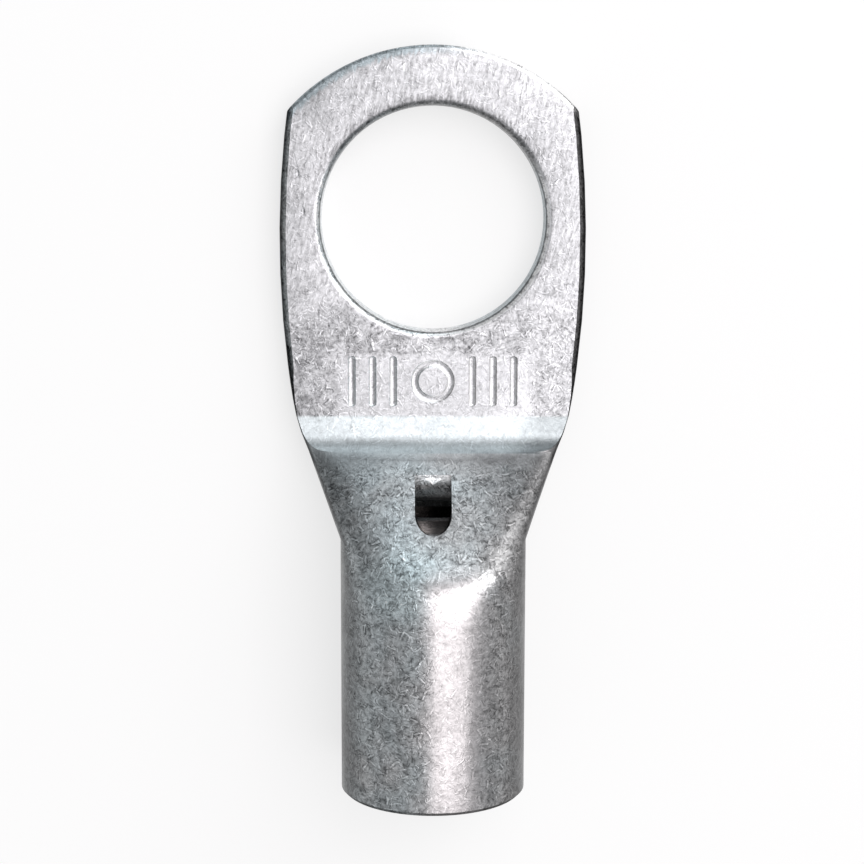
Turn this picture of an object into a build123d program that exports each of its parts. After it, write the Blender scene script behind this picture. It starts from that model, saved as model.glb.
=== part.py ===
"""Tubular compression lug: one copper tube, pressed flat at one end to a palm with a stud hole.

The lug lies on the underside of its palm. +Z is up, +Y points to the rounded end of the palm
and -Y to the mouth of the barrel. The origin is on the stud hole's axis, on the underside.
Sizes are in millimetres. A reach is a distance from the stud hole's axis towards the mouth.
"""

from build123d import *
from math import cos, radians, sin, sqrt, tan
import os

# The tube, as it still shows at the barrel
barrel_diameter = 10.6
wall = 1.2
barrel_length = 14.8
barrel_lift = 0.05
rim_chamfer = 0.2

# The palm
palm_thickness = 2.4
palm_width = 17.8
widest_reach = 1.5
palm_side_radius = 60.0
end_distance = 9.9
end_radius = 11.2
stud_hole_diameter = 13.0
punched_roll = 0.42
sheared_roll = 0.25

# The taper between palm and barrel, and the slope on its top
shoulder_reach = 18.0
shoulder_squareness = 1.4
taper_rate = 0.446
taper_blend = 0.12
slope_reach = 20.2
slope_angle = 47.0
bend_radius = 3.2

# The press tools: a nose rounds the step up from the palm, and the edges bulge out beside them
nose_reach = 11.35
nose_radius = 2.85
nose_angle = 62.0
edge_rise = 2.15
edge_squareness = 1.75
step_squareness = 4.0
fold_gap = 0.2
hollow_squareness = 1.0

# The sight hole, pierced through the slope, and the lip that the punch turned in
sight_top_reach = 14.5
sight_bottom_reach = 17.45
sight_width = 2.1
sight_bevel = 14.0
punch_clearance = 0.3
lip_thickness = 0.9
lip_length = 1.7
lip_drop = 1.2

# What follows from them
barrel_radius = barrel_diameter / 2
barrel_middle = barrel_lift + barrel_radius
barrel_crown = barrel_lift + barrel_diameter
bore_radius = barrel_radius - wall
bore_floor = barrel_lift + wall
palm_middle = palm_thickness / 2
stud_hole_radius = stud_hole_diameter / 2
edge_top = palm_middle + edge_rise
edge_bottom = palm_middle - edge_rise
mouth_reach = shoulder_reach + barrel_length
slope_rate = tan(radians(slope_angle))
upright_wall = wall / cos(radians(slope_angle))
bend_start = slope_reach + bend_radius * tan(radians(slope_angle / 2))
bend_end = bend_start - bend_radius * sin(radians(slope_angle))
step_reach = slope_reach - (barrel_crown - edge_top) / slope_rate
fold_reach = slope_reach - (barrel_crown - upright_wall - fold_gap - bore_floor) / slope_rate
palm_start = nose_reach - nose_radius
palm_end = -end_distance - nose_radius
round_squareness = sqrt(0.5)
tool_room = 2 * barrel_diameter


def half_width(reach):
    """Half the width of the pressed tube: the palm's side arc, eased into the taper."""
    side = palm_width / 2 - palm_side_radius
    side += sqrt(palm_side_radius**2 - (reach - widest_reach) ** 2)
    taper = barrel_radius + taper_rate * (shoulder_reach - reach)
    return (side + taper) / 2 - sqrt(((side - taper) / 2) ** 2 + taper_blend**2)


def slope_height(reach):
    """Height of the slope, which falls from the barrel's crown towards the palm."""
    return barrel_crown - slope_rate * (slope_reach - reach)


def crown_height(reach):
    """Height of the crown where it bends down from the barrel into the slope."""
    if reach < bend_end:
        return slope_height(reach)
    return barrel_crown - bend_radius + sqrt(bend_radius**2 - (bend_start - reach) ** 2)


def bevel_at(height):
    """Y of the sight hole's bevelled end at a height: it leans towards the palm as it goes down."""
    depth = slope_height(sight_bottom_reach) - height
    return depth * tan(radians(sight_bevel)) - sight_bottom_reach


def stations(start, end, count):
    """Evenly spaced reaches from start to end, both included."""
    return [start + (end - start) * index / count for index in range(count + 1)]


def tube_section(reach, width, floor, waist, crown, floor_squareness, crown_squareness):
    """Section of a squeezed tube: four conic quarters that meet at the crown, sides and floor."""
    below = [1, floor_squareness, 1]
    above = [1, crown_squareness, 1]
    with BuildSketch(Plane.XZ.offset(reach)) as section:
        with BuildLine():
            Bezier((0, crown), (width, crown), (width, waist), weights=above)
            Bezier((width, waist), (width, floor), (0, floor), weights=below)
            Bezier((0, floor), (-width, floor), (-width, waist), weights=below)
            Bezier((-width, waist), (-width, crown), (0, crown), weights=above)
        make_face()
    return section.sketch


def pressed_section(reach):
    """The flattened tube before the tools trim its top and underside level."""
    share = max(0, (reach - palm_start) / (step_reach - palm_start))
    squareness = edge_squareness + share * (step_squareness - edge_squareness)
    return tube_section(reach, half_width(reach), edge_bottom, palm_middle, edge_top, squareness, squareness)


def slope_section(reach):
    """The barrel where the slope has pressed its crown down, while its sides and floor stay round."""
    share = (bend_start - reach) / (bend_start - shoulder_reach)
    squareness = round_squareness + share**1.5 * (shoulder_squareness - round_squareness)
    crown = crown_height(reach)
    return tube_section(reach, barrel_radius, barrel_lift, barrel_middle, crown, round_squareness, squareness)


# The outside: the barrel flattens on top up to the shoulder, then spreads to the pressed palm
shoulder = [slope_section(reach) for reach in stations(bend_start, shoulder_reach, 8)]
neck = [pressed_section(reach) for reach in stations(step_reach, palm_start, 5)]
palm = [pressed_section(reach) for reach in stations(palm_start, palm_end, 8)]

# The inside, one wall further in: bore, shoulder and the fold where it closes
inner_crown = slope_height(shoulder_reach) - upright_wall
inner_waist = (bore_floor + inner_crown) / 2
bore = tube_section(
    bend_start, bore_radius, bore_floor, barrel_middle, barrel_crown - wall, round_squareness, round_squareness
)
hollow = tube_section(
    shoulder_reach, bore_radius, bore_floor, inner_waist, inner_crown, round_squareness, hollow_squareness
)
fold_width = half_width(fold_reach) - wall
fold_top = bore_floor + fold_gap
fold_waist = bore_floor + fold_gap / 2
fold = tube_section(
    fold_reach, fold_width, bore_floor, fold_waist, fold_top, hollow_squareness, hollow_squareness
)

# The punch of the sight hole is square towards the palm, round and bevelled towards the barrel
with BuildPart() as punch:
    with BuildSketch(Plane.XY.offset(bore_floor + punch_clearance)):
        with Locations((0, sight_width / 2 - sight_bottom_reach)):
            Circle(sight_width / 2)
            square_length = sight_bottom_reach - sight_top_reach - sight_width / 2
            Rectangle(sight_width, square_length, align=(Align.CENTER, Align.MIN))
    extrude(amount=tool_room)
    with BuildSketch(Plane.YZ):
        with BuildLine():
            Polyline((bevel_at(tool_room), tool_room), (bevel_at(0), 0), (0, 0), (0, tool_room), close=True)
        make_face()
    extrude(amount=sight_width, both=True, mode=Mode.INTERSECT)

with BuildPart() as lug:
    loft(shoulder, ruled=True)
    loft([shoulder[-1], neck[0]])
    loft(neck, ruled=True)
    loft(palm, ruled=True)

    # The upper tool leaves the flat palm and the step that its nose rounds
    with BuildSketch(Plane.YZ):
        with BuildLine():
            flat = Line((tool_room, palm_thickness), (-nose_reach, palm_thickness))
            centre = (-nose_reach, palm_thickness + nose_radius)
            nose = CenterArc(centre, nose_radius, -90, -nose_angle)
            flank = PolarLine(nose @ 1, tool_room, direction=nose % 1)
            back = Line(flank @ 1, (tool_room, (flank @ 1).Y))
            Line(back @ 1, flat @ 0)
        make_face()
    extrude(amount=palm_width, both=True, mode=Mode.SUBTRACT)

    # The lower tool leaves the flat underside
    with BuildSketch(Plane.YZ):
        with Locations((-shoulder_reach, 0)):
            Rectangle(2 * tool_room, tool_room, align=(Align.MIN, Align.MAX))
    extrude(amount=palm_width, both=True, mode=Mode.SUBTRACT)

    # The rounded end is sheared off square after pressing, which rolls its upper edge
    with BuildSketch(Plane.XZ.offset(end_radius - end_distance)):
        with BuildLine():
            rolled_edge = (end_radius - sheared_roll, palm_thickness)
            roll = TangentArc((end_radius, palm_thickness - sheared_roll), rolled_edge, tangent=(0, 1))
            above = (end_radius - sheared_roll, 2 * palm_thickness)
            outside = (2 * palm_width, 2 * palm_thickness)
            under = (2 * palm_width, -palm_thickness)
            Polyline(roll @ 1, above, outside, under, (end_radius, -palm_thickness), roll @ 0)
        make_face()
    revolve(axis=Axis((0, end_distance - end_radius, 0), (0, 0, 1)), revolution_arc=180, mode=Mode.SUBTRACT)

    # The round barrel, with its bore up to where the tube's crown bends down
    with BuildSketch(Plane.XZ.offset(bend_start)):
        with Locations((0, barrel_middle)):
            Circle(barrel_radius)
    extrude(amount=mouth_reach - bend_start)
    with BuildSketch(Plane.XZ.offset(mouth_reach)):
        with Locations((0, barrel_middle)):
            Circle(bore_radius)
    extrude(amount=bend_start - mouth_reach, mode=Mode.SUBTRACT)
    chamfer(lug.faces().sort_by(Axis.Y)[0].edges(), rim_chamfer)

    # The hollow narrows to a wedge
    loft([bore, hollow], mode=Mode.SUBTRACT)
    loft([hollow, fold], mode=Mode.SUBTRACT)

    # The stud hole, with a rolled upper rim where its punch went in
    with BuildSketch(Plane.XZ):
        with BuildLine():
            rim = (stud_hole_radius + punched_roll, palm_thickness)
            roll = TangentArc((stud_hole_radius, palm_thickness - punched_roll), rim, tangent=(0, 1))
            Polyline(roll @ 1, (0, palm_thickness), (0, 0), (stud_hole_radius, 0), roll @ 0)
        make_face()
    revolve(axis=Axis.Z, mode=Mode.SUBTRACT)

    # The sight hole, and the lip that stays turned in at its palm side
    add(punch.part, mode=Mode.SUBTRACT)
    lip_centre = (-sight_top_reach, slope_height(sight_top_reach) - lip_drop)
    lip_root = (-sight_top_reach, slope_height(sight_top_reach) - upright_wall)
    with BuildSketch(Plane.YZ):
        with BuildLine():
            lip = EllipticalCenterArc(lip_centre, lip_length, lip_drop, start_angle=90, arc_size=90)
            tip = Line(lip @ 1, (lip @ 1) + (lip_thickness, 0))
            Polyline(tip @ 1, lip_root, lip @ 0)
        make_face()
    extrude(amount=sight_width / 2, both=True)

lug.part.label = "lug"
os.makedirs("parts", exist_ok=True)
export_step(lug.part, "parts/lug.step")
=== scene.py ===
"""Looks of the tinned compression lug: its pressed skin, tin finish, floor, light and camera.

Everything is in metres in the lug's own frame: the origin is on the stud hole's axis at the
underside, +Z is up, +Y points to the rounded end of the palm and -Y to the barrel's mouth.
"""

from math import pi, radians

import bpy
from mathutils import Matrix, Vector


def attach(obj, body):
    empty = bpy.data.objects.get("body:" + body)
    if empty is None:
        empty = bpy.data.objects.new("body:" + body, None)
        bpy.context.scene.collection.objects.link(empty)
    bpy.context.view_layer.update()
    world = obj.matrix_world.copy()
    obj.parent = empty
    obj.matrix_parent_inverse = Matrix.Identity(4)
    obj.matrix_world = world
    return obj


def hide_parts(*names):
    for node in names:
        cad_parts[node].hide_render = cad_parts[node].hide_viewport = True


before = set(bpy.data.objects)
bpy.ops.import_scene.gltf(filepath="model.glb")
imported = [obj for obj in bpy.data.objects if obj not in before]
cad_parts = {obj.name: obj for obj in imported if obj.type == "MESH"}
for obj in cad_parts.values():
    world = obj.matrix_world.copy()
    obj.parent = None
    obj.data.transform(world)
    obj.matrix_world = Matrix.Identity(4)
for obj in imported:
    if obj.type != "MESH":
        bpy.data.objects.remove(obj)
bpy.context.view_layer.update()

MM = 0.001


def mm(*values):
    """Millimetres to metres."""
    return tuple(value * MM for value in values)


# Camera, fitted to the outline of the photographed lug
CAMERA_PLACE = mm(-1.28718, 4.69382, 115.7742)
CAMERA_PITCH = 0.14899
CAMERA_YAW = -0.01099
CAMERA_ROLL = 0.00168
CAMERA_LENS = 81.88
CAMERA_SENSOR = 36.0
CAMERA_CLIP = (0.01, 10)


def make_camera():
    data = bpy.data.cameras.new("camera")
    data.sensor_width = CAMERA_SENSOR
    data.lens = CAMERA_LENS
    data.clip_start, data.clip_end = CAMERA_CLIP
    camera = bpy.data.objects.new("camera", data)
    bpy.context.scene.collection.objects.link(camera)
    yaw = Matrix.Rotation(CAMERA_YAW, 4, "Y")
    pitch = Matrix.Rotation(-CAMERA_PITCH, 4, "X")
    roll = Matrix.Rotation(CAMERA_ROLL, 4, "Z")
    camera.matrix_world = Matrix.Translation(CAMERA_PLACE) @ yaw @ pitch @ roll
    bpy.context.scene.camera = camera


make_camera()


class Tree:
    """A material's node tree, with short ways to add and join nodes."""

    def __init__(self, name):
        self.material = bpy.data.materials.new(name)
        self.material.use_nodes = True
        self.nodes = self.material.node_tree.nodes
        self.links = self.material.node_tree.links
        self.nodes.clear()

    def put(self, socket, value):
        if isinstance(value, bpy.types.NodeSocket):
            self.links.new(value, socket)
        else:
            socket.default_value = value

    def node(self, kind, inputs=None, **settings):
        node = self.nodes.new(kind)
        for name, value in settings.items():
            setattr(node, name, value)
        for name, value in (inputs or {}).items():
            self.put(node.inputs[name], value)
        return node

    def math(self, operation, *values):
        node = self.node("ShaderNodeMath", operation=operation)
        for index, value in enumerate(values):
            self.put(node.inputs[index], value)
        return node.outputs[0]

    def vector(self, operation, *values):
        node = self.node("ShaderNodeVectorMath", operation=operation)
        for index, value in enumerate(values):
            self.put(node.inputs[index], value)
        return node

    def noise(self, place, scale, detail, roughness):
        node = self.node(
            "ShaderNodeTexNoise",
            {"Vector": place, "Scale": scale, "Detail": detail, "Roughness": roughness},
        )
        return node.outputs[0]

    def mix(self, share, first, second):
        """From the first colour to the second, by a share."""
        node = self.node("ShaderNodeMix", {"Factor": share}, data_type="RGBA")
        self.put(node.inputs[6], first + (1,) if isinstance(first, tuple) else first)
        self.put(node.inputs[7], second + (1,))
        return node.outputs[2]

    def fade(self, value, limits, levels=(0.0, 1.0)):
        """Smooth step: the first level up to the first limit, and the second from the second on."""
        node = self.node(
            "ShaderNodeMapRange",
            {
                "Value": value,
                "From Min": limits[0],
                "From Max": limits[1],
                "To Min": levels[0],
                "To Max": levels[1],
            },
            interpolation_type="SMOOTHSTEP",
        )
        return node.outputs[0]

    def between(self, share, first, second):
        """From the first number to the second, by a share."""
        return self.math("MULTIPLY_ADD", share, second - first, first)

    def product(self, first, *others):
        """All the values, multiplied together."""
        for other in others:
            first = self.math("MULTIPLY", first, other)
        return first

    def outside(self, mask):
        """What a mask leaves free."""
        return self.math("SUBTRACT", 1.0, mask)

    def away(self, value, middle=0.0):
        """How far a value is from the middle, to either side."""
        if middle:
            value = self.math("SUBTRACT", value, middle)
        return self.math("ABSOLUTE", value)

    def uneven(self, value, noise, reach):
        """A value that a noise moves up and down within a reach."""
        return self.math("ADD", value, self.math("MULTIPLY_ADD", noise, reach, -reach / 2))

    def shaded(self, shade, mask, factor):
        """A shade that is multiplied by the factor where the mask is."""
        if isinstance(factor, bpy.types.NodeSocket):
            change = self.math("SUBTRACT", factor, 1.0)
        else:
            change = factor - 1
        return self.product(self.math("MULTIPLY_ADD", mask, change, 1.0), shade)


# Lines of the lug that its finish follows, in millimetres, as the solid has them
PALM_TOP = 2.4
STEP_START = -11.35
STEP_RADIUS = 2.85
STEP_CREST = -13.42
STEP_END = -13.8
SEAM_HEIGHT = 1.2
END_CENTRE = (0, -1.3, 0)
SLOPE_REACH = -20.2
SLOPE_CROWN = 10.65
SLOPE_RATE = 1.0724
MOUTH_RIM = (-32.56, -32.6)

# Tints of the tin. The teal at the left, the warm at the right and the tints of the step, the teal
# patch, the barrel's highlight and the end band are painted reflection colours
TIN_COLOR = (0.44, 0.446, 0.452)
TEAL_TINT = (0.95, 1.0, 1.015)
WARM_TINT = (1.02, 0.995, 0.99)
STEP_TINT = (0.94, 1.005, 1.025)
PALM_TINT = (1.0, 0.995, 1.015)
PATCH_TINT = (0.9, 1.0, 1.02)
HIGHLIGHT_TINT = (1.03, 0.985, 0.985)
END_TINT = (0.84, 0.95, 1.0)
BEVEL_TINT = (1.12, 0.96, 0.9)
WARM_SIDE = (-4.5, 4.5)
WARM_REACH = 3.0
WHITE = (1, 1, 1)
DARK_SHEEN = (0.3, 0.3, 0.3)

# Crystals: a bed is the spacing, offset and bow of its strokes
STROKE_LENGTH = (1.0, 0.75)
STROKE_WIDTH = (1.0, 0.3)
GAP_LENGTH = (1.25, 1.0)
GAP_WIDTH = (2.4, 1.0)
OFFSET_SKEW = 1.7
WARP_SCALE = 1.6
WARP_DETAIL = 2.0
WARP_REACH = 0.3
LONG_CHANCE = (0.45, 0.8)
BEDS = ((0.46, 31.7, -0.2), (0.36, 83.1, 0.25), (0.27, 57.9, -0.3))
BED_LENGTH = 0.5
BED_WIDTH = 0.15
BED_LIGHTS = (-0.9, 1.1)
STREAK_LEAN = 0.2
STREAK_STRETCH = (4.5, 1.0, 1.0)

# From here on a pair is where a region starts to fade in and where it is full: in millimetres,
# or as the part of the normal that points up or sideways. A shade multiplies the tin's own.

# Palm, with the field that its stamp smoothed, the marks and the rougher side
UPWARD = (0.2, 0.5)
LEVEL = (0.8, 0.97)
PALM_START = (STEP_START - 0.15, STEP_START + 0.05)
# Partly the tin's own, partly painted light: the pressed palm is lighter, and PALM_SLOPE adds painted
# light that grows towards +X and +Y
PALM_SHADE = 1.12
PALM_SLOPE = 0.0098
STAMP_SIDES = (6.2, 5.2)
STAMP_START = (-7.5, -8.1)
STAMPED_SHADE = 1.22
MARK_START = (-7.2, -7.4)
MARK_DEPTHS = (PALM_TOP - 0.004, PALM_TOP - 0.012)
# Painted shade: below the palm's top, faces turned towards -X darken, in the marks and on the palm's left
# side
MARK_TURN = (-0.6, 0.1)
MARK_SHADE = 0.45
ROUGH_START = (-5.0, -7.0)
ROUGH_SIDE = (7.0, 2.0)
ROUGH_PATCHES = (0.58, 0.42)
ROUGH_SHADE = 0.8
TIP_START = (-7.0, -3.0)

# Step, with painted light on its face
STEP_BAND = (0.05, 0.015)
STEP_FOOT = (STEP_CREST - 0.06, STEP_CREST)
STEP_RISE = (STEP_CREST + 0.2, -12.5)
STEP_LIGHTS = (-0.02, 0.34)
STEP_SIDE = (4.0, 6.5)
STEP_SIDE_LIGHTS = (0.0, -0.5)
DIP_START = (-12.2, -12.5)
DIP_END = (-13.05, -12.75)
DIP_LIGHT = 0.16

# Bend from the barrel into the slope, and the barrel
# Painted highlight: a round spot on the bend, where the barrel's highlight meets the slope, is lightened
FLARE_CENTRE = (1.9, -20.1, 9.9)
FLARE_REACH = (2.6, 0.6)
FLARE_SHADE = 1.55
# Painted reflection: a patch on the bend, left of the highlight, is lightened and tinted teal
PATCH_CENTRE = (-1.6, -19.6, 10.4)
PATCH_REACH = (3.4, 0.8)
PATCH_UNEVEN = 4.0
PATCH_SHADE = 1.4
# Painted shade: the top of the slope is darkened towards its sides
CORNER_MIDDLE = -0.5
CORNER_SIDES = (0.9, 5.0)
CORNER_START = (-18.5, -15.5)
CORNER_END = (STEP_CREST + 0.3, STEP_CREST - 0.3)
CORNER_SHADE = 0.55
# Painted highlight: a band along the barrel's crown where its highlight falls, its grain calmed and tinted
# pink
HIGHLIGHT_MIDDLE = 1.2
HIGHLIGHT_SIDES = (2.4, 0.9)
HIGHLIGHT_START = (-18.4, -20.0)
BARREL_START = (-19.5, -21.5)
# Painted light: two strips along the top of the barrel, one left and one right of its highlight, are
# lightened
LEFT_FLANK = ((-4.4, -3.2), (-0.4, -1.4))
RIGHT_FLANK = ((1.3, 1.9), (3.6, 2.4))
FLANK_SHADE = 1.25
# Painted shade: the rim of the barrel's mouth is darkened to a dark line
MOUTH_SHADE = 0.35

# Sides and edges of the pressed tube, darkened as painted shade, the right edge more than the left; and the
# seam
OUTER_SIDES = (6.75, 6.95)
EDGE_TURN = (0.45, 0.7)
EDGE_START = (STEP_END - 3.0, STEP_END + 2.0)
EDGE_SIDES = (-1.0, 1.0)
EDGE_SHADES = (0.9, 0.5)
SIDE_TURN = (0.55, 0.95)
SIDE_SHADE = 0.26
SEAM_TURN = (0.8, 0.74)
SEAM_SIDES = (6.7, 6.6)
SEAM_UPRIGHT = (0.3, 0.1)
SEAM_BAND = (0.05, 0.02)
SEAM_SHADE = 0.25

# Stud hole: its wall and the roll of its rim lightened as painted light, a thin line and a band
# around it darkened as painted shade
HOLE_END = (4.5, 1.5)
WALL_TURN = (0.65, 0.4)
WALL_SIDES = (-1.0, 4.0)
WALL_SHADES = (2.0, 1.0)
COOL_WALL_SIDES = (0.0, 4.0)
ROLL_TURNS = ((0.99, 0.9), (0.6, 0.72))
ROLL_SHADE = 2.5
LINE_TURNS = ((0.6, 0.5), (0.1, 0.25))
LINE_SHADE = 0.3
HOLE_BAND = (7.2, 6.75)
HOLE_BAND_START = (1.0, 4.0)
HOLE_BAND_UNEVEN = 1.2
HOLE_BAND_SHADE = 0.6

# Rounded end: its rolled edge at the right lightened as painted light, and a band at the left
# darkened and tinted bluish as painted reflection
END_ROLL = (10.9, 10.96)
END_ROLL_SIDE = (0.0, 3.0)
END_ROLL_START = (3.0, 5.0)
END_ROLL_SHADE = 2.6
END_BAND = (10.6, 10.85)
END_BAND_SIDE = (3.0, -2.0)
END_BAND_START = (4.0, 6.5)
END_BAND_UNEVEN = 0.9
END_BAND_SHADE = 0.8

# Sight hole: its hollow darkened as painted shadow, its lip darkened with a painted glint, and the
# bevel opposite painted lighter at the left and darker at the right
SLOT_HALF_WIDTH = 1.12
SLOT_START = (-17.75, -17.6)
SLOT_END = (-14.3, -14.45)
HOLLOW_DEPTHS = (0.4, 2.3)
HOLLOW_SHADE = 0.06
LIP_DEPTHS = (0.1, 0.25)
LIP_START = (-15.4, -15.0)
LIP_SHADE = 0.8
LIP_GLINT_CENTRE = -14.75
LIP_GLINT_SIZE = (0.5, 0.36)
LIP_GLINT_BAND = (1.1, 0.8)
LIP_GLINT_SHADE = 2.4
BEVEL_END = (-16.9, -17.0)
BEVEL_DEPTHS = (0.1, 0.3)
BEVEL_SIDES = (-1.0, 0.2)
BEVEL_SHADES = (1.6, 0.1)

# Grain: how strongly the crystals, the grit and the streaks show, and where they are calmed: on the
# step, on the palm, and under the barrel's highlight, where the calm grain is part of a painted highlight
BED_CONTRAST = 0.42
LONG_CONTRAST = 0.5
GAP_CONTRAST = -0.24
GRIT_SPREAD = (0.33, 0.67)
GRIT_CONTRAST = (-0.28, 0.3)
BLOT_SPREAD = (0.36, 0.58)
BLOT_CONTRAST = (-0.24, 0.1)
STREAK_SPREAD = (0.35, 0.65)
STREAK_CONTRAST = (-0.3, 0.22)
STREAK_SHARES = (0.1, 0.85)
SMOOTH_START = (STEP_CREST - 1.3, STEP_CREST)
SMOOTH_CONTRAST = 0.3
HIGHLIGHT_CONTRAST = 0.5
STAMPED_CONTRAST = 0.5
PALM_CONTRAST = 0.8
DARKEST_GRAIN = 0.3

# Relief and gloss
BED_RELIEF = 0.6
RELIEF_STRENGTH = 0.5
RELIEF_HEIGHT = 0.012
GLOSS_SPREAD = (0.3, 0.7)
ROUGHNESS = (0.3, 0.38)
PALM_ROUGHNESS = 0.08


class Tin(Tree):
    """The lug's matte tin. A mask is 1 on its region of the skin and 0 elsewhere."""

    def __init__(self):
        super().__init__("matte_tin")
        self.find_place()
        self.grow_crystals()
        self.mask_palm()
        self.mask_step()
        self.mask_bend()
        self.mask_edges()
        self.mask_stud_hole()
        self.mask_end()
        self.mask_sight_hole()
        self.join_shader()

    def find_place(self):
        """Where each point of the skin is, in millimetres, and how it faces. The flat place is
        looked at along whichever axis the skin faces most."""
        coordinates = self.node("ShaderNodeTexCoord")
        place = self.vector("SCALE", coordinates.outputs["Object"])
        place.inputs["Scale"].default_value = 1 / MM
        self.place = place.outputs[0]
        self.x, self.y, self.z = self.node("ShaderNodeSeparateXYZ", {0: self.place}).outputs
        self.aside = self.away(self.x)
        normal = coordinates.outputs["Normal"]
        self.normal_x, _, self.normal_z = self.node("ShaderNodeSeparateXYZ", {0: normal}).outputs
        facing = self.vector("ABSOLUTE", normal).outputs[0]
        self.facing_x, facing_y, self.facing_z = self.node("ShaderNodeSeparateXYZ", {0: facing}).outputs
        side = self.math("GREATER_THAN", self.facing_x, self.math("MAXIMUM", facing_y, self.facing_z))
        end = self.math("GREATER_THAN", facing_y, self.math("MAXIMUM", self.facing_x, self.facing_z))
        across = self.math("MULTIPLY_ADD", side, self.math("SUBTRACT", self.z, self.x), self.x)
        along = self.math("MULTIPLY_ADD", end, self.math("SUBTRACT", self.z, self.y), self.y)
        self.flat = self.node("ShaderNodeCombineXYZ", {0: across, 1: along}).outputs[0]

    def strokes(self, flat, spacing, offset, length, width, bow):
        """Short bowed crystals, one in each cell, that lie every way: where they are, the gaps
        around them, and how light each is."""
        moved = self.vector("ADD", flat, (offset, offset * OFFSET_SKEW, 0)).outputs[0]
        cells = self.node(
            "ShaderNodeTexVoronoi",
            {"Vector": moved, "Scale": 1 / spacing, "Randomness": 1.0},
            voronoi_dimensions="2D",
        )
        turn, chance, _ = self.node("ShaderNodeSeparateColor", {0: cells.outputs["Color"]}).outputs
        off = self.vector("SUBTRACT", moved, cells.outputs["Position"]).outputs[0]
        turned = self.node(
            "ShaderNodeVectorRotate",
            {"Vector": off, "Angle": self.product(turn, 2 * pi)},
            rotation_type="Z_AXIS",
        )
        u, v, _ = self.node("ShaderNodeSeparateXYZ", {0: turned.outputs[0]}).outputs
        bowed = self.math("SUBTRACT", v, self.product(u, u, bow / spacing))
        reach = self.away(self.math("DIVIDE", u, length * spacing))
        aside = self.away(self.math("DIVIDE", bowed, width * spacing))
        body = self.product(self.fade(reach, STROKE_LENGTH), self.fade(aside, STROKE_WIDTH))
        around = self.product(self.fade(reach, GAP_LENGTH), self.fade(aside, GAP_WIDTH))
        return body, self.math("SUBTRACT", around, body), chance

    def grow_crystals(self):
        """A few long bright crystals over three beds of light and dark ones, and the noises."""
        warp = self.node(
            "ShaderNodeTexNoise",
            {"Vector": self.flat, "Scale": WARP_SCALE, "Detail": WARP_DETAIL},
        )
        bent = self.vector("SUBTRACT", warp.outputs["Color"], (0.5, 0.5, 0.5)).outputs[0]
        bent = self.vector("MULTIPLY", bent, (WARP_REACH, WARP_REACH, 0)).outputs[0]
        waved = self.vector("ADD", self.flat, bent).outputs[0]
        body, gap, chance = self.strokes(waved, spacing=0.8, offset=0.0, length=0.34, width=0.085, bow=0.12)
        chosen = self.fade(chance, LONG_CHANCE)
        self.long_ones = self.product(body, chosen)
        self.gaps = self.product(gap, chosen)
        self.beds = 0.0
        for spacing, offset, bow in BEDS:
            body, gap, chance = self.strokes(waved, spacing, offset, BED_LENGTH, BED_WIDTH, bow)
            light = self.product(body, self.between(chance, *BED_LIGHTS))
            self.beds = self.math("ADD", self.beds, light)
            self.gaps = self.math("MULTIPLY_ADD", gap, chance, self.gaps)
        self.grit = self.noise(self.place, scale=4.5, detail=3.0, roughness=0.65)
        self.blots = self.noise(self.place, scale=1.5, detail=3.0, roughness=0.65)
        self.cloud = self.noise(self.place, scale=0.28, detail=3.0, roughness=0.55)
        leaning = self.node(
            "ShaderNodeVectorRotate",
            {"Vector": self.place, "Angle": STREAK_LEAN},
            rotation_type="Z_AXIS",
        )
        stretched = self.vector("MULTIPLY", leaning.outputs[0], STREAK_STRETCH).outputs[0]
        self.streaks = self.noise(stretched, scale=1.3, detail=4.0, roughness=0.65)

    def mask_palm(self):
        """The palm, its level top, the stamped field, the rougher side, and painted shade on what lies
        below its top and faces -X, such as the marks' walls and the palm's left side.
        """
        self.upward = self.fade(self.normal_z, UPWARD)
        self.palm = self.fade(self.y, PALM_START)
        self.beyond_palm = self.outside(self.palm)
        self.pressed = self.product(self.palm, self.fade(self.normal_z, LEVEL))
        self.tip = self.product(self.pressed, self.fade(self.y, TIP_START))
        self.stamped = self.product(self.fade(self.aside, STAMP_SIDES), self.fade(self.y, STAMP_START))
        # Painted shade: everything on the palm below its top past MARK_START darkens where it faces -X
        self.mark = self.product(self.fade(self.z, MARK_DEPTHS), self.fade(self.y, MARK_START), self.palm)
        self.mark_shade = self.fade(self.normal_x, MARK_TURN, (MARK_SHADE, 1.0))
        rough = self.product(self.fade(self.y, ROUGH_START), self.fade(self.x, ROUGH_SIDE), self.pressed)
        self.rough = self.product(rough, self.outside(self.stamped), self.fade(self.blots, ROUGH_PATCHES))

    def mask_step(self):
        """The round step that the tool's nose left, and the painted light on it: lighter towards the palm,
        darker at its right end, with a lighter band across it.
        """
        across = self.math("SUBTRACT", self.y, STEP_START)
        above = self.math("SUBTRACT", self.z, PALM_TOP + STEP_RADIUS)
        squares = self.math("ADD", self.math("POWER", across, 2.0), self.math("POWER", above, 2.0))
        off_arc = self.away(self.math("SQRT", squares), STEP_RADIUS)
        step = self.product(self.fade(off_arc, STEP_BAND), self.beyond_palm)
        self.step = self.product(step, self.upward, self.fade(self.y, STEP_FOOT))
        light = self.fade(self.y, STEP_RISE, STEP_LIGHTS)
        light = self.math("ADD", light, self.fade(self.x, STEP_SIDE, STEP_SIDE_LIGHTS))
        dip = self.product(self.fade(self.y, DIP_START), self.fade(self.y, DIP_END))
        self.step_light = self.math("MULTIPLY_ADD", dip, DIP_LIGHT, light)

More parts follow.
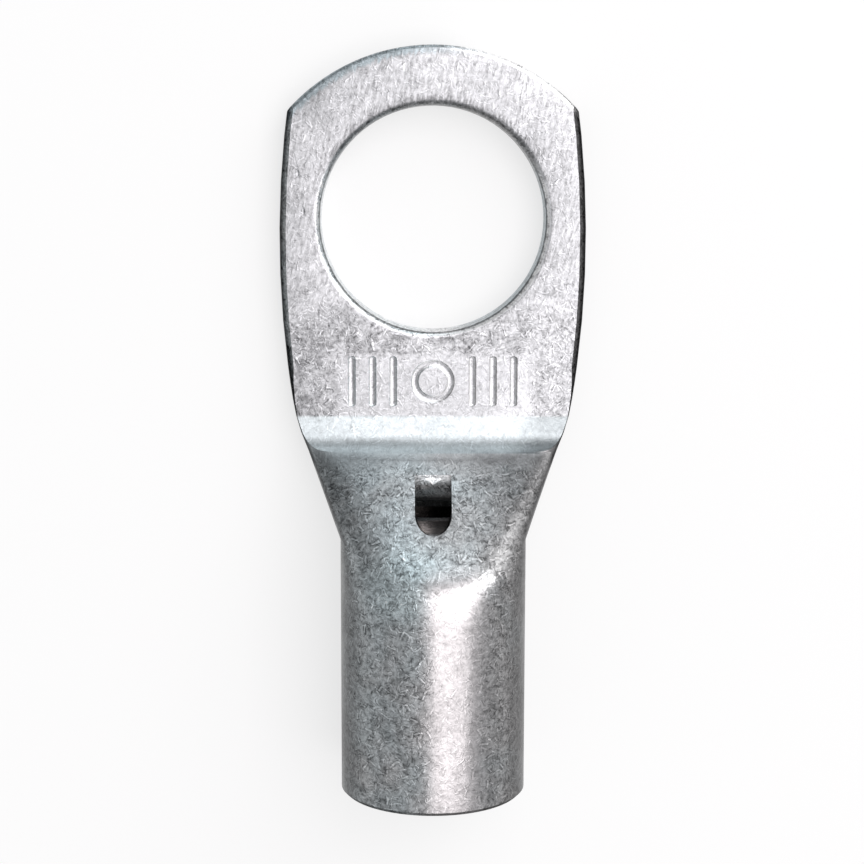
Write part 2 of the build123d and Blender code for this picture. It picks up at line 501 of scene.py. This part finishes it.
    def mask_bend(self):
        """Painted light and shade on the bend and barrel: the flare and the teal patch, lighter; the
        slope's corners, darker; the barrel's highlight band; the lighter flanks; and the dark mouth rim."""
        from_flare = self.vector("DISTANCE", self.place, FLARE_CENTRE).outputs["Value"]
        self.flare = self.fade(from_flare, FLARE_REACH)
        from_patch = self.vector("DISTANCE", self.place, PATCH_CENTRE).outputs["Value"]
        self.teal_patch = self.fade(self.uneven(from_patch, self.cloud, PATCH_UNEVEN), PATCH_REACH)
        corner = self.product(self.fade(self.away(self.x, CORNER_MIDDLE), CORNER_SIDES), self.upward)
        self.corner = self.product(corner, self.fade(self.y, CORNER_START), self.fade(self.y, CORNER_END))
        highlight_band = self.product(self.fade(self.away(self.x, HIGHLIGHT_MIDDLE), HIGHLIGHT_SIDES), self.upward)
        self.highlight_band = self.product(highlight_band, self.fade(self.y, HIGHLIGHT_START))
        left, right = (
            self.product(self.fade(self.x, start), self.fade(self.x, end))
            for start, end in (LEFT_FLANK, RIGHT_FLANK)
        )
        barrel = self.product(self.upward, self.fade(self.y, BARREL_START))
        self.flank = self.product(barrel, self.math("MAXIMUM", left, right))
        self.rim = self.fade(self.y, MOUTH_RIM)

    def mask_edges(self):
        """The folded sides and their edges, darkened as painted shade, and the seam where the tube's two
        layers meet.
        """
        self.outer = self.fade(self.aside, OUTER_SIDES)
        edge = self.product(self.fade(self.facing_x, EDGE_TURN), self.fade(self.y, EDGE_START))
        self.edge = self.product(edge, self.outer)
        self.edge_shade = self.fade(self.x, EDGE_SIDES, EDGE_SHADES)
        folded = self.math("MAXIMUM", self.outer, self.beyond_palm)
        self.side = self.product(self.fade(self.facing_x, SIDE_TURN), folded)
        sheared = self.fade(self.facing_x, SEAM_TURN)
        cut_face = self.math("MAXIMUM", sheared, self.fade(self.aside, SEAM_SIDES))
        cut_face = self.product(cut_face, self.fade(self.facing_z, SEAM_UPRIGHT), self.palm)
        self.seam = self.product(self.fade(self.away(self.z, SEAM_HEIGHT), SEAM_BAND), cut_face)

    def from_axis(self, centre):
        """Distance from the upright line through a centre."""
        off = self.vector("SUBTRACT", self.place, centre).outputs[0]
        level = self.vector("MULTIPLY", off, (1, 1, 0)).outputs[0]
        return self.vector("LENGTH", level).outputs["Value"]

    def mask_stud_hole(self):
        """The stud hole's wall, lightened at the left and tinted cool at the right, and the roll of its
        rim, both painted light; a thin line below the roll and a band on the hole's side towards the
        rounded end, both painted shade.
        """
        inner = self.product(self.outside(self.outer), self.palm, self.fade(self.y, HOLE_END))
        self.wall = self.product(inner, self.fade(self.normal_z, WALL_TURN))
        self.wall_shade = self.fade(self.x, WALL_SIDES, WALL_SHADES)
        self.cool_wall = self.product(self.wall, self.fade(self.x, COOL_WALL_SIDES))
        self.roll, self.line = (
            self.product(self.fade(self.normal_z, start), self.fade(self.normal_z, end), inner)
            for start, end in (ROLL_TURNS, LINE_TURNS)
        )
        from_hole = self.uneven(self.from_axis((0, 0, 0)), self.streaks, HOLE_BAND_UNEVEN)
        self.hole_band = self.product(self.fade(from_hole, HOLE_BAND), self.fade(self.y, HOLE_BAND_START))

    def mask_end(self):
        """The rolled edge of the rounded end, lightened as painted light, and a darker, bluish band of
        painted reflection along it.
        """
        from_end = self.from_axis(END_CENTRE)
        roll = self.product(self.fade(from_end, END_ROLL), self.fade(self.x, END_ROLL_SIDE))
        self.end_roll = self.product(roll, self.fade(self.y, END_ROLL_START))
        from_end = self.uneven(from_end, self.streaks, END_BAND_UNEVEN)
        band = self.product(self.fade(from_end, END_BAND), self.fade(self.x, END_BAND_SIDE))
        self.end_band = self.product(band, self.fade(self.y, END_BAND_START))

    def mask_sight_hole(self):
        """The hollow under the sight hole, darkened as painted shadow; the lip, darker, with a painted
        glint; and the bevel, painted lighter at the left and darker at the right.
        """
        along = self.math("SUBTRACT", self.y, SLOPE_REACH)
        slope = self.math("MULTIPLY_ADD", along, -SLOPE_RATE, SLOPE_CROWN)
        depth = self.math("SUBTRACT", slope, self.z)
        slot = self.math("LESS_THAN", self.aside, SLOT_HALF_WIDTH)
        slot = self.product(slot, self.fade(self.y, SLOT_START), self.fade(self.y, SLOT_END))
        self.hollow = self.product(slot, self.fade(depth, HOLLOW_DEPTHS))
        self.lip = self.product(slot, self.fade(depth, LIP_DEPTHS), self.fade(self.y, LIP_START))
        # Painted highlight: a small diamond-shaped glint on the lip
        glint_x = self.math("DIVIDE", self.aside, LIP_GLINT_SIZE[0])
        glint_y = self.math("DIVIDE", self.away(self.y, LIP_GLINT_CENTRE), LIP_GLINT_SIZE[1])
        glint = self.fade(self.math("ADD", glint_x, glint_y), LIP_GLINT_BAND)
        self.lip_shade = self.between(glint, LIP_SHADE, LIP_GLINT_SHADE)
        self.bevel = self.product(slot, self.fade(self.y, BEVEL_END), self.fade(depth, BEVEL_DEPTHS))
        self.bevel_shade = self.fade(self.x, BEVEL_SIDES, BEVEL_SHADES)

    def grain_shade(self, contrast):
        """Light and dark of the crystals, and the streaks that the press drew over the palm."""
        grain = self.math("MULTIPLY", self.beds, BED_CONTRAST)
        grain = self.math("MULTIPLY_ADD", self.long_ones, LONG_CONTRAST, grain)
        grain = self.math("MULTIPLY_ADD", self.gaps, GAP_CONTRAST, grain)
        grain = self.math("ADD", grain, self.fade(self.grit, GRIT_SPREAD, GRIT_CONTRAST))
        grain = self.math("ADD", grain, self.fade(self.blots, BLOT_SPREAD, BLOT_CONTRAST))
        grain = self.product(grain, contrast)
        stamped = self.math("MAXIMUM", self.tip, self.product(self.stamped, self.palm))
        grain = self.shaded(grain, stamped, STAMPED_CONTRAST)
        streaks = self.fade(self.streaks, STREAK_SPREAD, STREAK_CONTRAST)
        streaks = self.product(streaks, self.between(self.tip, *STREAK_SHARES), self.pressed)
        grain = self.shaded(self.math("ADD", grain, streaks), self.pressed, PALM_CONTRAST)
        return self.math("MAXIMUM", self.math("ADD", grain, 1.0), DARKEST_GRAIN)

    def region_shade(self):
        """How light each region is. Most of it is painted light and shade; the stamped field, the rougher
        patches, the seam and part of the palm's lightness are the tin's own.
        """
        # Painted light growing towards +X and +Y over the palm's lighter tin
        palm_shade = self.math("MULTIPLY_ADD", self.math("ADD", self.x, self.y), PALM_SLOPE, PALM_SHADE)
        shade = 1.0
        for mask, factor in (
            (self.pressed, palm_shade),
            (self.corner, CORNER_SHADE),
            (self.mark, self.mark_shade),
            (self.product(self.stamped, self.pressed), STAMPED_SHADE),
            (self.rim, MOUTH_SHADE),
            (self.flank, FLANK_SHADE),
            (self.flare, FLARE_SHADE),
            (self.teal_patch, PATCH_SHADE),
            (self.rough, ROUGH_SHADE),
            (self.end_roll, END_ROLL_SHADE),
        ):
            shade = self.shaded(shade, mask, factor)
        shade = self.math("MULTIPLY_ADD", self.step, self.step_light, shade)
        for mask, factor in (
            (self.side, SIDE_SHADE),
            (self.wall, self.wall_shade),
            (self.roll, ROLL_SHADE),
            (self.line, LINE_SHADE),
            (self.edge, self.edge_shade),
            (self.hole_band, HOLE_BAND_SHADE),
            (self.end_band, END_BAND_SHADE),
            (self.lip, self.lip_shade),
            (self.bevel, self.bevel_shade),
            (self.seam, SEAM_SHADE),
            (self.hollow, HOLLOW_SHADE),
        ):
            shade = self.shaded(shade, mask, factor)
        return shade

    def region_tint(self):
        """Painted reflection colour, teal at the left to warm at the right, under the regions' tints."""
        warm = self.uneven(self.fade(self.x, WARM_SIDE), self.cloud, WARM_REACH)
        tint = self.mix(warm, TEAL_TINT, WARM_TINT)
        for mask, color in (
            (self.teal_patch, PATCH_TINT),
            (self.highlight_band, HIGHLIGHT_TINT),
            (self.pressed, PALM_TINT),
            (self.math("MAXIMUM", self.end_band, self.cool_wall), END_TINT),
            (self.step, STEP_TINT),
            (self.bevel, BEVEL_TINT),
        ):
            tint = self.mix(mask, tint, color)
        return tint

    def join_shader(self):
        """Colour, relief and gloss of the tin."""
        smooth = self.product(self.fade(self.y, SMOOTH_START), self.beyond_palm, self.upward)
        contrast = self.shaded(self.shaded(1.0, smooth, SMOOTH_CONTRAST), self.highlight_band, HIGHLIGHT_CONTRAST)
        color = self.vector("SCALE", self.vector("MULTIPLY", self.region_tint(), TIN_COLOR).outputs[0])
        self.put(color.inputs["Scale"], self.product(self.grain_shade(contrast), self.region_shade()))
        relief = self.math("MULTIPLY_ADD", self.beds, BED_RELIEF, self.long_ones)
        relief = self.product(self.math("ADD", relief, self.grit), contrast)
        bump = self.node(
            "ShaderNodeBump",
            {"Strength": RELIEF_STRENGTH, "Distance": RELIEF_HEIGHT * MM, "Height": relief},
        )
        roughness = self.fade(self.cloud, GLOSS_SPREAD, ROUGHNESS)
        shader = self.node(
            "ShaderNodeBsdfPrincipled",
            {
                "Base Color": color.outputs[0],
                "Metallic": 1.0,
                "Roughness": self.math("MULTIPLY_ADD", self.pressed, PALM_ROUGHNESS, roughness),
                # Painted shade in the sheen: the reflections of the palm's side edges and the mouth's rim
                # are darkened
                "Specular Tint": self.mix(self.math("MAXIMUM", self.edge, self.rim), WHITE, DARK_SHEEN),
                "Normal": bump.outputs[0],
            },
        )
        self.node("ShaderNodeOutputMaterial", {"Surface": shader.outputs[0]})


# Skin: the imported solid's own surface, with plain marks pressed into the palm
MERGE_DISTANCE = 0.0005
SMOOTH_ANGLE = radians(25)
MARK_REACH = -9.35
MARK_RADIUS = 0.32
MARK_DEPTH = 0.1
BAR_PLACES = (-4.7, -3.5, -2.3, 2.3, 3.5, 4.7)
BAR_LENGTH = 3.0
BAR_ROUNDING = 0.2
RING_RADIUS = 1.05
NICK_PLACES = ((-7.75, 2.65), (-7.45, 0.5))
NICK_RADIUS = 0.4
NICK_DEPTH = 0.04
NICK_STRETCH = (0.7, 1.2, 1)


def deselect_all():
    for thing in bpy.context.selected_objects:
        thing.select_set(False)


def choose(*things):
    """Select only these things, with the first one active."""
    deselect_all()
    for thing in things:
        thing.select_set(True)
    bpy.context.view_layer.objects.active = things[0]


def make_skin():
    """The lug's own surface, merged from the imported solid."""
    skin = bpy.data.objects.new("lug_skin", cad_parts["lug"].data.copy())
    bpy.context.scene.collection.objects.link(skin)
    choose(skin)
    bpy.ops.object.mode_set(mode="EDIT")
    bpy.ops.mesh.select_all(action="SELECT")
    bpy.ops.mesh.customdata_custom_splitnormals_clear()
    bpy.ops.mesh.remove_doubles(threshold=MERGE_DISTANCE * MM)
    bpy.ops.object.mode_set(mode="OBJECT")
    bpy.ops.object.shade_smooth_by_angle(angle=SMOOTH_ANGLE)
    return skin


def cut_bar(x):
    """A round bar, sunk a little into the palm, that leaves one plain pressed mark."""
    deselect_all()
    bpy.ops.mesh.primitive_cylinder_add(
        vertices=32,
        radius=MARK_RADIUS * MM,
        depth=BAR_LENGTH * MM,
        location=mm(x, MARK_REACH, PALM_TOP + MARK_RADIUS - MARK_DEPTH),
        rotation=(pi / 2, 0, 0),
    )
    bpy.ops.object.transform_apply()
    bar = bpy.context.object
    bpy.ops.object.mode_set(mode="EDIT")
    bpy.ops.mesh.select_all(action="DESELECT")
    bpy.ops.mesh.select_mode(type="FACE")
    bpy.ops.object.mode_set(mode="OBJECT")
    for face in bar.data.polygons:
        face.select = abs(face.normal.y) > 0.9
    bpy.ops.object.mode_set(mode="EDIT")
    bpy.ops.mesh.bevel(offset=BAR_ROUNDING * MM, segments=5)
    bpy.ops.object.mode_set(mode="OBJECT")
    return bar


def cut_ring():
    """A ring in the middle of the row of bars, sunk as deep as they are."""
    deselect_all()
    bpy.ops.mesh.primitive_torus_add(
        location=mm(0, MARK_REACH, PALM_TOP + MARK_RADIUS - MARK_DEPTH),
        major_segments=64,
        minor_segments=24,
        major_radius=RING_RADIUS * MM,
        minor_radius=MARK_RADIUS * MM,
    )
    bpy.ops.object.transform_apply()
    return bpy.context.object


def cut_nick(x, y):
    """A shallow oval dent."""
    deselect_all()
    bpy.ops.mesh.primitive_uv_sphere_add(
        segments=16,
        ring_count=10,
        radius=NICK_RADIUS * MM,
        location=mm(x, y, PALM_TOP + NICK_RADIUS - NICK_DEPTH),
        scale=NICK_STRETCH,
    )
    bpy.ops.object.transform_apply()
    return bpy.context.object


def press_marks(skin):
    """Sink a row of plain bars and a ring, and two small nicks, into the palm."""
    cutters = [cut_bar(x) for x in BAR_PLACES]
    cutters.append(cut_ring())
    cutters.extend(cut_nick(x, y) for x, y in NICK_PLACES)
    choose(*cutters)
    bpy.ops.object.join()
    cutter = bpy.context.object
    choose(skin)
    sink = skin.modifiers.new("marks", "BOOLEAN")
    sink.operation = "DIFFERENCE"
    sink.solver = "EXACT"
    sink.object = cutter
    bpy.ops.object.modifier_apply(modifier=sink.name)
    bpy.data.objects.remove(cutter)
    bpy.ops.object.shade_smooth_by_angle(angle=SMOOTH_ANGLE)


tin = Tin()
skin = make_skin()
press_marks(skin)
skin.data.materials.clear()
skin.data.materials.append(tin.material)
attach(skin, "root")
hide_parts("lug")

# Floor, lamps and surroundings
FLOOR_SIZE = 3
PAPER_COLOR = (0.75, 0.75, 0.75, 1)
GLOW_COLOR = (1, 1, 1, 1)
GLOW_STRENGTH = 1.1
GLOW_SHARE = 0.62
ROOM_COLOR = (0.97, 0.985, 1.0, 1)
ROOM_STRENGTH = 0.43


def make_floor():
    """White paper that glows a little where the camera and the tin see it, and keeps its shadow."""
    deselect_all()
    bpy.ops.mesh.primitive_plane_add(size=FLOOR_SIZE, location=(0, 0, 0))
    floor = bpy.context.object
    floor.name = "floor"
    tree = Tree("white_paper")
    rays = tree.node("ShaderNodeLightPath")
    paper = tree.node("ShaderNodeBsdfDiffuse", {"Color": PAPER_COLOR})
    glow = tree.node("ShaderNodeEmission", {"Color": GLOW_COLOR, "Strength": GLOW_STRENGTH})
    shown = tree.math("MAXIMUM", rays.outputs["Is Camera Ray"], rays.outputs["Is Glossy Ray"])
    shown = tree.math("MAXIMUM", shown, rays.outputs["Is Transmission Ray"])
    share = tree.math("MULTIPLY", shown, GLOW_SHARE)
    both = tree.node("ShaderNodeMixShader", {0: share, 1: paper.outputs[0], 2: glow.outputs[0]})
    tree.node("ShaderNodeOutputMaterial", {"Surface": both.outputs[0]})
    floor.data.materials.append(tree.material)


def make_room():
    """Even grey surroundings."""
    world = bpy.data.worlds.new("studio")
    bpy.context.scene.world = world
    world.use_nodes = True
    room = world.node_tree.nodes["Background"]
    room.inputs["Color"].default_value = ROOM_COLOR
    room.inputs["Strength"].default_value = ROOM_STRENGTH


def softbox(name, place, aim, size, power, color):
    """A rectangular lamp that is aimed at a point, and that the camera doesn't see."""
    data = bpy.data.lights.new(name, "AREA")
    data.shape = "RECTANGLE"
    data.size, data.size_y = size
    data.energy = power
    data.color = color
    lamp = bpy.data.objects.new(name, data)
    bpy.context.scene.collection.objects.link(lamp)
    lamp.location = place
    way = Vector(aim) - Vector(place)
    lamp.rotation_euler = way.to_track_quat("-Z", "Y").to_euler()
    lamp.visible_camera = False


make_floor()
make_room()
softbox(
    "overhead",
    place=(0.18, 0.1, 0.47),
    aim=(0.18, 0.1, 0),
    size=(0.42, 0.7),
    power=2.24,
    color=(1.0, 0.96, 0.965),
)
softbox(
    "fill_card",
    place=(0.4, 0.34, 0.3),
    aim=(0, -0.02, 0),
    size=(0.36, 0.3),
    power=0.85,
    color=(1, 1, 1),
)
softbox(
    "head_card",
    place=(0.03, 0.62, 0.14),
    aim=(0, -0.01, 0),
    size=(0.26, 0.3),
    power=0.32,
    color=(0.88, 0.96, 1.0),
)
bpy.context.scene.view_settings.view_transform = "Standard"
